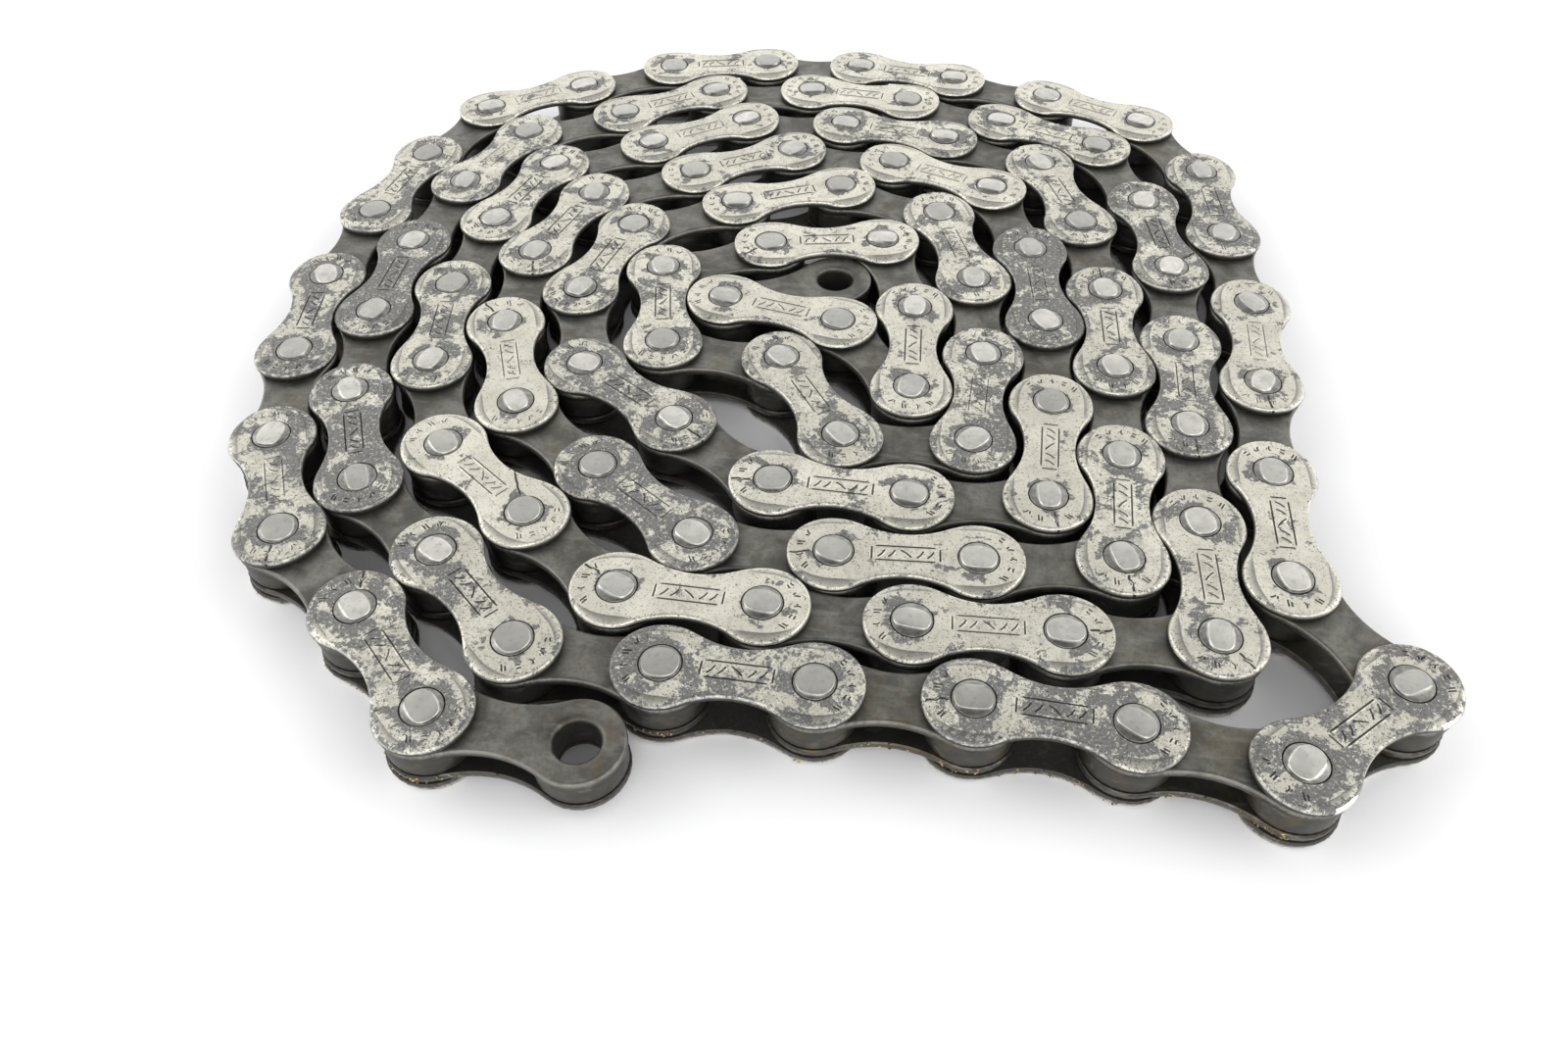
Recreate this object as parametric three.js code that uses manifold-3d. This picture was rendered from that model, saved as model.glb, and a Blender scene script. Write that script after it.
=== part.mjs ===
// A length of used bicycle roller chain, coiled flat on its side.
//
// Millimetres, +Z up. The chain lies with its pins upright, so the coil is laid out in plan (X, Y)
// and every link is the same stack of plates in height (Z). The origin is under the middle of the coil.
// Inner and outer links take turns. Each node is an inner link and the outer link riveted to it;
// the outer link's other pin stands free in the bore of the next node's inner link.

import * as THREE from 'three';
import { mergeVertices } from 'three/addons/utils/BufferGeometryUtils.js';
import Module from 'manifold-3d';

const wasm = await Module();
wasm.setup();

// ---- driving dimensions, mm ----
const PITCH = 12.7;              // pin to pin, the half inch of every bicycle chain
const INNER_WIDTH = 2.4;         // between the inner plates, for a 3/32 inch sprocket
const PLATE = 0.85;              // thickness of every plate
const SIDE_PLAY = 0.1;           // inner plate to outer plate
const HEAD = 0.3;                // a pin's head stands this far out of the upper outer plate
const OUTER_RADIUS = 4.15;       // round end of an outer plate
const INNER_RADIUS = 4.0;        // round end of an inner plate
const WAIST = 1.8;               // the one point on each side of a waist, set in from the true 2.4 of its curve
const ROLLER_RADIUS = 3.87;
const PIN_SIDE = 3.2;            // a square of about the area of the 3.6 mm round pin
const BORE_SIDE = 3.8;           // the square it stands in, with 0.3 mm all round
const FREE_BORE_RADIUS = 1.9;    // the open hole at each free end
const SLACK = 0.3;               // overlap of pieces that are joined
const SHOULDER = 112;            // degrees each way from a round end's tip to where its outline stops
const GAP_BACK = 1.2;            // how far the open space beside a roller reaches back past its nose

// Points round a plate's end: few where plates cover each other, more where the link ends free.
const END_POINTS = 4;
const FREE_END_POINTS = 8;

// ---- heights in the stack, mm ----
const LOWER_OUTER = [0, PLATE];
const LOWER_INNER = [LOWER_OUTER[1] + SIDE_PLAY, LOWER_OUTER[1] + SIDE_PLAY + PLATE];
const UPPER_INNER = [LOWER_INNER[1] + INNER_WIDTH, LOWER_INNER[1] + INNER_WIDTH + PLATE];
const UPPER_OUTER = [UPPER_INNER[1] + SIDE_PLAY, UPPER_INNER[1] + SIDE_PLAY + PLATE];

// ---- how the coil lies ----
const START = [-11.44, -53.58];   // the open hole at the outer free end
const START_HEADING = 177;       // degrees, the way the first inner link runs
// The turn at each joint in degrees, from the outer free end inwards: first at an inner link's far pin,
// then at the outer link's far pin, and so on. The chain turns clockwise, so most are negative.
const BENDS = [
  // outermost turn: front left corner, left side, back, right side, front right corner, front
  -41, 8, -27, -13, -6, -11, -6, -11, -36, -3, -18, -10, -10, -7, -8, -36, -25, 1, -9, -1, 3, 38,
  -86, -51, 6, 3, -1, -3,
  // second turn
  -38, 5, -29, -14, -10, -10, -11, -40, 3, -24, -13, -12, -4, -46, -13, -10, -1, 0, 3, -87, -3, -3,
  // third turn
  0, -35, -1, -29, -16, -13, -13, -42, 2, -30, -10, -13, -48, -11, -8, -2, -2, -80, -5, -5,
  // fourth turn
  -33, -2, -32, -20, -19, -43, 0, -34, -15, -49, -14, -5, -4, -82, -7,
  // fifth turn
  -32, 0, -41, -31, -46, -7, -42, -50, -14, -9, -83, -60,
  // the crumpled heart of the coil, and the inner free end
  51, -74, -73, -18, -80, -18, -141, 38, -142,
];

const radians = THREE.MathUtils.degToRad;

// Every pin of the chain in order, each one pitch on from the last, with the heading of the link after it.
function layOut() {
  const pins = [new THREE.Vector2(...START)];
  const headings = [START_HEADING];
  BENDS.forEach((bend, index) => {
    pins.push(step(pins[index], headings[index]));
    headings.push(headings[index] + bend);
  });
  pins.push(step(pins.at(-1), headings.at(-1)));
  return { pins, headings };
}

function step(from, heading) {
  const angle = radians(heading);
  return new THREE.Vector2(from.x + PITCH * Math.cos(angle), from.y + PITCH * Math.sin(angle));
}

// ---- outlines in plan ----

// A waisted plate between the pins at 0 and PITCH: a fan of points round each end and one on each
// side of the waist.
function plateOutline(radius, nearPoints, farPoints) {
  return [
    ...endPoints(0, 180, radius, nearPoints),
    new THREE.Vector2(PITCH / 2, -WAIST),
    ...endPoints(PITCH, 0, radius, farPoints),
    new THREE.Vector2(PITCH / 2, WAIST),
  ];
}

// Points round one end, from one shoulder to the other; outward is the way the end points.
function endPoints(x, outward, radius, count) {
  return Array.from({ length: count }, (_, index) => {
    const angle = radians(outward - SHOULDER + (2 * SHOULDER * index) / (count - 1));
    return new THREE.Vector2(x + radius * Math.cos(angle), radius * Math.sin(angle));
  });
}

function square(side) {
  const half = side / 2;
  return [[-half, -half], [half, -half], [half, half], [-half, half]].map(([x, y]) => new THREE.Vector2(x, y));
}

function circle(radius, count) {
  return Array.from({ length: count }, (_, index) => {
    const angle = (2 * Math.PI * index) / count;
    return new THREE.Vector2(radius * Math.cos(angle), radius * Math.sin(angle));
  });
}

// The open space between an inner link's two rollers, seen in plan: each roller meets it with a blunt nose.
function rollerGap() {
  const side = OUTER_RADIUS + 1;
  const nose = ROLLER_RADIUS;
  return [
    [GAP_BACK, -side], [PITCH - GAP_BACK, -side], [PITCH - nose, 0], [PITCH - GAP_BACK, side], [GAP_BACK, side],
    [nose, 0],
  ].map(([x, y]) => new THREE.Vector2(x, y));
}

// ---- solids ----

function solid(geometry) {
  geometry.deleteAttribute('normal');
  geometry.deleteAttribute('uv');
  const merged = mergeVertices(geometry, 1e-5);
  return new wasm.Manifold(new wasm.Mesh({
    numProp: 3,
    vertProperties: new Float32Array(merged.attributes.position.array),
    triVerts: new Uint32Array(merged.index.array),
  }));
}

// An outline carried up from one height to another, turned about its origin and moved in plan.
function prism(outline, [bottom, top], turn = 0, x = 0) {
  const geometry = new THREE.ExtrudeGeometry(new THREE.Shape(outline), {
    depth: top - bottom, bevelEnabled: false, steps: 1,
  });
  geometry.rotateZ(radians(turn));
  geometry.translate(x, 0, bottom);
  return solid(geometry);
}

function toGeometry(body) {
  const { vertProperties, triVerts } = body.getMesh();
  const geometry = new THREE.BufferGeometry();
  geometry.setAttribute('position', new THREE.BufferAttribute(vertProperties, 3));
  geometry.setIndex(new THREE.BufferAttribute(triVerts, 1));
  return geometry;
}

// Two inner plates on two rollers, from the pin at 0 to the pin at PITCH. `bores` are outlines cut
// right through, each with the place of its pin along the link and its turn.
function innerLink(nearPoints, farPoints, bores) {
  const height = [LOWER_INNER[0], UPPER_INNER[1]];
  let body = prism(plateOutline(INNER_RADIUS, nearPoints, farPoints), height);
  body = body.subtract(prism(rollerGap(), [LOWER_INNER[1], UPPER_INNER[0]]));
  for (const { outline, x, turn } of bores) {
    body = body.subtract(prism(outline, [height[0] - 1, height[1] + 1], turn, x));
  }
  return body;
}

// Two outer plates on two pins, with the near pin at PITCH, turned by the bend at that pin.
function outerLink(bend) {
  const outline = plateOutline(OUTER_RADIUS, END_POINTS, END_POINTS);
  const lower = prism(outline, LOWER_OUTER);
  const upper = prism(outline, UPPER_OUTER);
  const pinHeight = [LOWER_OUTER[1] - SLACK, UPPER_OUTER[1] + HEAD];
  const nearPin = prism(square(PIN_SIDE), pinHeight);
  const farPin = prism(square(PIN_SIDE), pinHeight, 0, PITCH);
  return lower.add(upper).add(nearPin).add(farPin)
    .rotate([0, 0, bend])
    .translate([PITCH, 0, 0]);
}

// ---- the chain ----

const platedSteel = new THREE.MeshStandardMaterial({ color: 0xb9b5a6, roughness: 0.42, metalness: 0.9 });
const bareSteel = new THREE.MeshStandardMaterial({ color: 0x5b5a56, roughness: 0.5, metalness: 0.9 });

const { pins, headings } = layOut();
const freeBore = circle(FREE_BORE_RADIUS, 12);

// The bore of an inner link's near pin: square to the outer link before it, or round at the free end.
function nearBore(index) {
  if (index === 0) {
    return { outline: freeBore, x: 0, turn: 0 };
  }
  return { outline: square(BORE_SIDE), x: 0, turn: headings[index - 1] - headings[index] };
}

function linkMesh(name, body, material, index) {
  const mesh = new THREE.Mesh(toGeometry(body), material);
  mesh.name = name;
  mesh.position.set(pins[index].x, pins[index].y, 0);
  mesh.rotation.z = radians(headings[index]);
  return mesh;
}

function linkPair(index) {
  const nearPoints = index === 0 ? FREE_END_POINTS : END_POINTS;
  const inner = innerLink(nearPoints, END_POINTS, [nearBore(index)]);
  const body = inner.add(outerLink(headings[index + 1] - headings[index]));
  const name = `link_pair_${String(index / 2 + 1).padStart(2, '0')}`;
  return linkMesh(name, body, platedSteel, index);
}

function endLink(index) {
  const bores = [nearBore(index), { outline: freeBore, x: PITCH, turn: 0 }];
  return linkMesh('end_link', innerLink(END_POINTS, FREE_END_POINTS, bores), bareSteel, index);
}

const chain = new THREE.Group();
chain.name = 'roller_chain';
const lastLink = headings.length - 1;
for (let index = 0; index < lastLink; index += 2) {
  chain.add(linkPair(index));
}
chain.add(endLink(lastLink));

export default chain;
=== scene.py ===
"""Looks for a length of used bicycle roller chain, coiled flat on its side.

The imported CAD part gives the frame, in metres, +Z up, with the pins of the chain upright.
Every CAD node is replaced by surfaces worked out with numpy: the outer plates with their worn plating,
stamped strokes and cracks, the peened pins, and the bare inner plates with their rollers.
"""

import math

import bpy
import numpy as np
from mathutils import Matrix


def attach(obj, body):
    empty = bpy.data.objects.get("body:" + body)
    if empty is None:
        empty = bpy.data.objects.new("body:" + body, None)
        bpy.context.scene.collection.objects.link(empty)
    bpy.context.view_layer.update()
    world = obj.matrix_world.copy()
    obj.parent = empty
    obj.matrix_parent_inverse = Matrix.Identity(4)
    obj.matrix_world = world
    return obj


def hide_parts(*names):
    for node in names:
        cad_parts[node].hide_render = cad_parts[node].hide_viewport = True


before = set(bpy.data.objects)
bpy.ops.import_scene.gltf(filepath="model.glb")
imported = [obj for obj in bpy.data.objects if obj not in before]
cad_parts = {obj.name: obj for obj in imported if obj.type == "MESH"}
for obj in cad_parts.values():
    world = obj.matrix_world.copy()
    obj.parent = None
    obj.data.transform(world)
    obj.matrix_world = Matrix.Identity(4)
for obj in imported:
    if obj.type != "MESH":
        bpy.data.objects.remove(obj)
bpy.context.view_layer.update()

bl_info = {
    "name": "Coiled Roller Chain",
    "version": (1, 0, 0),
    "blender": (4, 5, 0),
    "location": "3D View > Sidebar > Chain",
    "description": "Builds a worn, coiled bicycle chain link by link",
    "category": "Object",
}

MM = 0.001

# ---- how the coil lies, in millimetres and degrees, as in the CAD part ----
# BENDS is the turn at each joint. The list was made by a separate least-squares program, not set by hand.
PITCH = 12.7
START = (-11.44, -53.58)
START_HEADING = 177.0
BENDS = (
    # outermost turn: front left corner, left side, back, right side, front right corner, front
    -41, 8, -27, -13, -6, -11, -6, -11, -36, -3, -18, -10, -10, -7, -8, -36, -25, 1, -9, -1, 3, 38,
    -86, -51, 6, 3, -1, -3,
    # second turn
    -38, 5, -29, -14, -10, -10, -11, -40, 3, -24, -13, -12, -4, -46, -13, -10, -1, 0, 3, -87, -3, -3,
    # third turn
    0, -35, -1, -29, -16, -13, -13, -42, 2, -30, -10, -13, -48, -11, -8, -2, -2, -80, -5, -5,
    # fourth turn
    -33, -2, -32, -20, -19, -43, 0, -34, -15, -49, -14, -5, -4, -82, -7,
    # fifth turn
    -32, 0, -41, -31, -46, -7, -42, -50, -14, -9, -83, -60,
    # the crumpled heart of the coil, and the inner free end
    51, -74, -73, -18, -80, -18, -141, 38, -142,
)

# ---- the stack of plates, heights in millimetres above the table ----
PLATE = 0.85
LOWER_OUTER = 0.0
LOWER_INNER = 0.95
UPPER_INNER = 4.2
UPPER_OUTER = 5.15
PIN_TOP = 6.3

# ---- what has happened to single outer links, counted from the outer free end ----
# share of the plating lost; the rest have lost 0.2 to 0.36 of it
FLAKED = {
    3: 0.6, 4: 0.58, 9: 0.56, 13: 0.64, 14: 0.62, 16: 0.72, 17: 0.82, 22: 0.68, 36: 0.68, 41: 0.8, 44: 0.64,
    48: 0.6,
}
PATCHY = {
    1: 0.56, 2: 0.52, 12: 0.54, 15: 0.44, 18: 0.42, 21: 0.44, 23: 0.55, 26: 0.18, 28: 0.5, 29: 0.4, 31: 0.44,
    32: 0.48, 33: 0.48, 34: 0.42, 38: 0.42, 45: 0.42, 47: 0.46, 49: 0.46, 50: 0.44,
}
# outer link: (which of its two pins, compass of the crack in degrees from +X)
CRACKS = {
    1: (1, 99), 2: (0, -81), 10: (1, -81), 13: (1, 189), 22: (1, 50), 23: (1, -81), 24: (1, -50),
    25: (0, 9), 26: (1, 150), 27: (0, 115), 33: (0, 99), 34: (1, -81), 35: (1, 189), 37: (1, 140),
    38: (0, -81), 42: (1, -75), 43: (1, 189), 44: (0, -40), 51: (0, -130),
}

# links whose lower plates carry rust, and links with yellow grains: compass of the side they cling to
RUSTED = (12, 13, 14)
GRITTY = {1: 170, 13: -90, 14: -80, 15: -80}

# outer link: compass of the rims painted near white, as chipped bright steel and as a painted highlight
CHIPS_AND_HIGHLIGHTS = {12: -50}


def lay_out():
    """Pins in the order of the chain, each one pitch on along its heading, and the headings in radians."""
    headings = np.radians(START_HEADING + np.concatenate([[0.0], np.cumsum(BENDS)]))
    steps = PITCH * np.stack([np.cos(headings), np.sin(headings)], axis=1)
    pins = np.array(START) + np.concatenate([[[0.0, 0.0]], np.cumsum(steps, axis=0)])
    return pins, headings


# ---- plates ----


def hollow(end, waist):
    """The arc of a waisted side: it touches both round ends and is waist / 2 from the middle line.

    Radius = (half pitch squared + half waist squared - end squared) / (2 (end - half waist)).
    """
    half = waist / 2
    radius = (PITCH**2 / 4 + half**2 - end**2) / (2 * (end - half))
    return radius, half + radius


def reach(angle, inset, end, waist):
    """How far from a pin the line lies that runs inset inside a plate's edge, at each angle from the plate's axis.

    It is the end's radius less the inset round the end, the near crossing of the ray with the side's arc
    past the angle of contact, and never beyond the plate's middle line.
    """
    radius, height = hollow(end, waist)
    fold = np.abs(angle)
    contact = math.atan2(height, PITCH / 2)
    centre = math.hypot(PITCH / 2, height)
    along = centre * np.cos(fold - contact)
    under = along**2 - centre**2 + (radius + inset) ** 2
    side = np.where(under > 0, along - np.sqrt(np.maximum(under, 0)), np.inf)
    middle = np.where(np.cos(fold) > 0.05, PITCH / 2 / np.maximum(np.cos(fold), 0.05), np.inf)
    return np.minimum(np.where(fold >= contact, end - inset, side), middle)


def edge_distance(x, y, end, waist):
    """Distance from a point of the plate to its edge.

    It is the end's radius less the distance to the pin, or the distance to the side's arc.
    """
    radius, height = hollow(end, waist)
    near = PITCH / 2 - np.abs(x - PITCH / 2)
    to_round = end - np.hypot(near, y)
    to_side = np.hypot(near - PITCH / 2, np.abs(y) - height) - radius
    beyond = np.arctan2(np.abs(y), near) >= math.atan2(height, PITCH / 2)
    return np.where(beyond, to_round, to_side)


def rounding(distance, radius):
    """Fall of a rounded edge: radius less the height of a quarter circle of that radius."""
    inside = np.clip(radius - distance, 0, radius)
    return radius - np.sqrt(np.maximum(radius**2 - inside**2, 0))


COIN_LINE = 3.2  # the coined slope beside each pin starts this far from the middle line
COIN_BOW = 2.2


def coin_reach(angle):
    """How far from the pin the coined slope starts: straight towards the waist, on a wide arc towards the tip."""
    rise = np.abs(np.sin(angle))
    straight = COIN_LINE / np.maximum(rise, 0.05)
    bowed = -COIN_BOW * rise + np.sqrt((COIN_BOW * rise) ** 2 + (COIN_LINE + COIN_BOW) ** 2 - COIN_BOW**2)
    return np.where(np.cos(angle) > 0, straight, bowed)


def coin_depth(x, y):
    """How far beyond the start of the coined slope a point lies, in millimetres."""
    near = PITCH / 2 - np.abs(x - PITCH / 2)
    straight = np.abs(y) - COIN_LINE
    bowed = np.hypot(near, np.abs(y) + COIN_BOW) - COIN_LINE - COIN_BOW
    return np.maximum(np.where(near > 0, straight, bowed), 0)


def pin_distance(x, y):
    """Distance to the nearer of the plate's two pins."""
    near = PITCH / 2 - np.abs(x - PITCH / 2)
    return np.hypot(near, y)


OUTER = {"end": 4.15, "waist": 4.8, "round": 0.26, "mouth": 0.06, "sink": 0.05, "coin": 0.27}
INNER = {"end": 4.0, "waist": 4.9, "round": 0.28, "mouth": 0.62, "sink": 0.42, "coin": 0.0}


def face_height(x, y, kind, bore):
    """Height of a plate's outer face above its inner one.

    Thickness, less the rounded edge, less the coined slope, less a hollow round the bore that falls
    with the square of the distance from the mouth, and a faint wave left by the press.
    """
    edge = edge_distance(x, y, kind["end"], kind["waist"])
    mouth = np.clip((bore + kind["mouth"] - pin_distance(x, y)) / kind["mouth"], 0, 1)
    wave = 0.012 * np.sin(0.8 * x + 0.6) * np.cos(0.9 * y) - 0.012
    return (
        PLATE
        - rounding(edge, kind["round"])
        - kind["coin"] * coin_depth(x, y)
        - kind["sink"] * (1 - np.sqrt(1 - mouth**2))
        + wave
    )


def plate_angles(waist, insets, round_steps):
    """Angles round a pin: wherever an inset line crosses the middle line, then evenly round the end."""
    crossings = np.concatenate([waist / 2 - np.array(insets), [1.5, 0.75]])
    middle = np.arctan2(np.unique(crossings.round(4)), PITCH / 2)
    first = middle[-1]
    side = first + (math.radians(60) - first) * np.array([0.06, 0.16, 0.3, 0.47, 0.64, 0.82])
    outer = np.linspace(math.radians(60), math.pi, round_steps // 2 + 1)
    half = np.concatenate([middle, side, outer])
    return np.concatenate([-half[::-1][1:], [0.0], half])


def plate(kind, bore, fine):
    """One waisted plate between pins at 0 and PITCH, its outer face up.

    Half the plate is a grid of angle round the pin by station across the section: from the bore's mouth
    over the face, round the edge, down the wall and back under the plate to the bore. The other half is
    the same, turned half round. Faces on the middle line are left out, so the halves join.
    """
    end, waist, round_edge = kind["end"], kind["waist"], kind["round"]
    shares = (0, 0.12, 0.38, 0.68, 1) if fine else (0, 0.3, 1)
    insets = [round_edge * s for s in shares]
    under = (0.05, 0.15) if fine else (0.12,)
    coined = [round_edge + 0.06, round_edge + 0.14] if kind["coin"] or fine else [round_edge + 0.14]
    angle = plate_angles(waist, insets + list(under) + coined, 32 if fine else 20)
    start = coin_reach(angle) if kind["coin"] else np.full_like(angle, 99.0)

    mouth = bore + kind["mouth"]
    slope = np.minimum(reach(angle, coined[-1], end, waist), start - 0.08 if kind["coin"] else 99.0)
    radii = [np.full_like(angle, bore)]
    radii += [np.full_like(angle, bore + kind["mouth"] * s) for s in ((0.12, 0.4, 0.7, 1.0) if fine else (0.3, 1.0))]
    shares_across = (0.2, 0.5, 0.8) if fine else (0.5,)
    radii += [mouth + (slope - mouth) * s for s in shares_across]
    radii += [slope]
    if len(coined) > 1:
        radii += [np.minimum(reach(angle, coined[0], end, waist), start)]
    radii += [reach(angle, inset, end, waist) for inset in reversed(insets)]
    top = len(radii)
    walls = (0.62 * (PLATE - round_edge), 0.16) if fine else (0.14,)
    radii += [reach(angle, -0.012 if i == 0 and fine else 0.0, end, waist) for i in range(len(walls))]
    radii += [reach(angle, inset, end, waist) for inset in under]
    radii += [np.full_like(angle, bore)]

    radius = np.array(radii)
    x, y = radius * np.cos(angle), radius * np.sin(angle)
    height = np.zeros_like(x)
    height[:top] = face_height(x[:top], y[:top], kind, bore)
    for i, wall in enumerate(walls):
        height[top + i] = wall
    if fine:
        height[top + len(walls)] = 0.045
    half = np.stack([x, y, height], axis=-1)
    edge = np.clip(edge_distance(x, y, end, waist), 0, 9)
    facing = np.zeros_like(x)
    facing[:top] = 1.0
    # the crease mark runs along the line where the coined slope starts; the material paints it darker as painted
    # shade
    coined_line = np.zeros_like(x)
    if kind["coin"] and fine:
        row = 5 + len(shares_across) + 1
        coined_line[row] = np.clip((reach(angle, coined[0], end, waist) - radius[row]) / 0.25, 0, 1)

    stations, around = x.shape
    index = np.arange(stations * around).reshape(stations, around)
    corner = np.stack(
        [
            index,
            np.roll(index, -1, axis=0),
            np.roll(np.roll(index, -1, axis=0), -1, axis=1),
            np.roll(index, -1, axis=1),
        ],
        axis=-1,
    ).reshape(-1, 4)
    points = half.reshape(-1, 3)
    on_middle = np.abs(points[:, 0] - PITCH / 2) < 1e-6
    corner = corner[~on_middle[corner].all(axis=1)]
    turned = points * np.array([-1, -1, 1]) + np.array([PITCH, 0, 0])
    solid = {
        "points": np.concatenate([points, turned]),
        "faces": halved(np.concatenate([corner, corner + len(points)])),
        "edge": np.tile(edge.ravel(), 2),
        "facing": np.tile(facing.ravel(), 2),
        "crease": np.tile(coined_line.ravel(), 2),
    }
    return outward(welded(solid))


# ---- meshes in general ----


def halved(quads):
    """Each quad as two triangles."""
    return np.concatenate([quads[:, [0, 1, 2]], quads[:, [0, 2, 3]]])


def welded(solid):
    """Points that lie together become one, and triangles that this leaves without area are dropped."""
    keys = np.round(solid["points"] * 1e4).astype(np.int64)
    _, first, index = np.unique(keys, axis=0, return_index=True, return_inverse=True)
    faces = index.reshape(-1)[solid["faces"]]
    a, b, c = faces.T
    kept = {name: values[first] for name, values in solid.items() if name != "faces"}
    kept["faces"] = faces[(a != b) & (b != c) & (c != a)]
    return kept


def outward(solid):
    """Turns the faces round where the signed volume, the sum of a . (b x c) / 6, is negative."""
    a, b, c = (solid["points"][solid["faces"][:, i]] for i in range(3))
    if np.einsum("ij,ij->", a, np.cross(b, c)) < 0:
        solid["faces"] = solid["faces"][:, ::-1]
    return solid


def flipped(solid, thickness=PLATE):
    """The same plate with its outer face down."""
    points = solid["points"] * np.array([1, 1, -1]) + np.array([0, 0, thickness])
    return {**solid, "points": points, "faces": solid["faces"][:, ::-1]}


def placed(solid, pin, heading, height, tilt=(0.0, 0.0)):
    """Turned by heading, then moved to the pin and up by height; tilt is the rise per millimetre along and across."""
    x, y, z = solid["points"].T
    z = z + height + tilt[0] * (x - PITCH / 2) + tilt[1] * y
    cos, sin = math.cos(heading), math.sin(heading)
    points = np.stack([pin[0] + x * cos - y * sin, pin[1] + x * sin + y * cos, z], axis=1)
    return {**solid, "points": points, "local": solid["points"]}


def joined(solids):
    """Several solids as one, with each mark they carry, 0 where a solid has none."""
    names = sorted({name for solid in solids for name in solid if name != "faces"})
    whole = {}
    for name in names:
        shape = next(s[name].shape[1:] for s in solids if name in s)
        whole[name] = np.concatenate([s.get(name, np.zeros((len(s["points"]), *shape))) for s in solids])
    starts = np.cumsum([0] + [len(s["points"]) for s in solids[:-1]])
    whole["faces"] = np.concatenate([s["faces"] + start for s, start in zip(solids, starts)])
    return whole


def marked(solid, **marks):
    """The solid with a constant mark on all its points, for its material to read."""
    count = len(solid["points"])
    return {**solid, **{name: np.full(count, float(value)) for name, value in marks.items()}}


def make_piece(name, solid, material, nodes, crease=35.0):
    """A mesh object from points in millimetres and triangles, riding on the one body and standing for its nodes."""
    mesh = bpy.data.meshes.new(name)
    faces = solid["faces"]
    mesh.vertices.add(len(solid["points"]))
    mesh.vertices.foreach_set("co", (solid["points"] * MM).astype(np.float32).ravel())
    mesh.loops.add(faces.size)
    mesh.loops.foreach_set("vertex_index", faces.astype(np.int32).ravel())
    mesh.polygons.add(len(faces))
    mesh.polygons.foreach_set("loop_start", np.arange(0, faces.size, 3, dtype=np.int32))
    mesh.update(calc_edges=True)
    for mark, values in solid.items():
        if mark in ("points", "faces"):
            continue
        kind = "FLOAT_VECTOR" if values.ndim == 2 else "FLOAT"
        layer = mesh.attributes.new(mark, kind, "POINT")
        layer.data.foreach_set("vector" if values.ndim == 2 else "value", values.astype(np.float32).ravel())
    mesh.shade_smooth()
    mesh.set_sharp_from_angle(angle=math.radians(crease))
    mesh.materials.append(material)
    piece = bpy.data.objects.new(name, mesh)
    bpy.context.scene.collection.objects.link(piece)
    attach(piece, "root")
    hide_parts(*nodes)
    return piece


def node_of(pair):
    """The CAD node that holds inner link number pair and the outer link after it."""
    return "end_link" if pair == (len(BENDS) + 2) // 2 else f"link_pair_{pair:02d}"


# ---- stamped strokes and cracks ----


def struck(grid, index, furrow):
    """A furrow's solid from its rings of points, marked as lying on the face and well inside the plate's edge."""
    solid = {
        "points": grid.reshape(-1, 3),
        "faces": tube(index),
        "furrow": np.ravel(furrow),
        "facing": np.ones(index.size),
        "edge": np.full(index.size, 2.0),
    }
    return outward(welded(solid))


def strokes(start, finish, bow, skin, width, deep=1.0):
    """Stamped strokes, each a shallow furrow between two low burrs, sunk into the face at its edges and ends.

    A stroke runs from start to finish, bowed sideways by bow times a parabola. Across it are five points:
    sunk edge, burr, furrow, burr, sunk edge. Its height is the face's height plus the section's.
    """
    along = np.array([0.0, 0.09, 0.5, 0.91, 1.0])
    across = np.array([-1.5, -0.85, 0.0, 0.85, 1.5]) * width
    rise = np.array([-0.03, 0.024, 0.008, 0.024, -0.03])
    start, finish, bow = np.atleast_2d(start), np.atleast_2d(finish), np.asarray(bow, float).reshape(-1, 1)
    run = finish - start
    length = np.linalg.norm(run, axis=1, keepdims=True)
    side = np.stack([-run[:, 1], run[:, 0]], axis=1) / length
    middle = start[:, None] + run[:, None] * along[None, :, None]
    middle = middle + side[:, None] * (bow * 4 * along * (1 - along))[..., None]
    narrow = np.array([0.0, 1, 1, 1, 0.0])
    grid = middle[:, :, None] + side[:, None, None] * (across[None, None] * narrow[None, :, None])[..., None]
    height = skin(grid[..., 0], grid[..., 1]) + np.where(narrow[None, :, None] > 0, rise[None, None], -0.03)
    count, stations, points = height.shape
    index = np.arange(count * stations * points).reshape(count, stations, points)
    furrow = np.broadcast_to(np.array([0, 0.15, 1.0, 0.15, 0]) * deep, height.shape) * narrow[None, :, None]
    return struck(np.concatenate([grid, height[..., None]], axis=-1), index, furrow)


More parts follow.
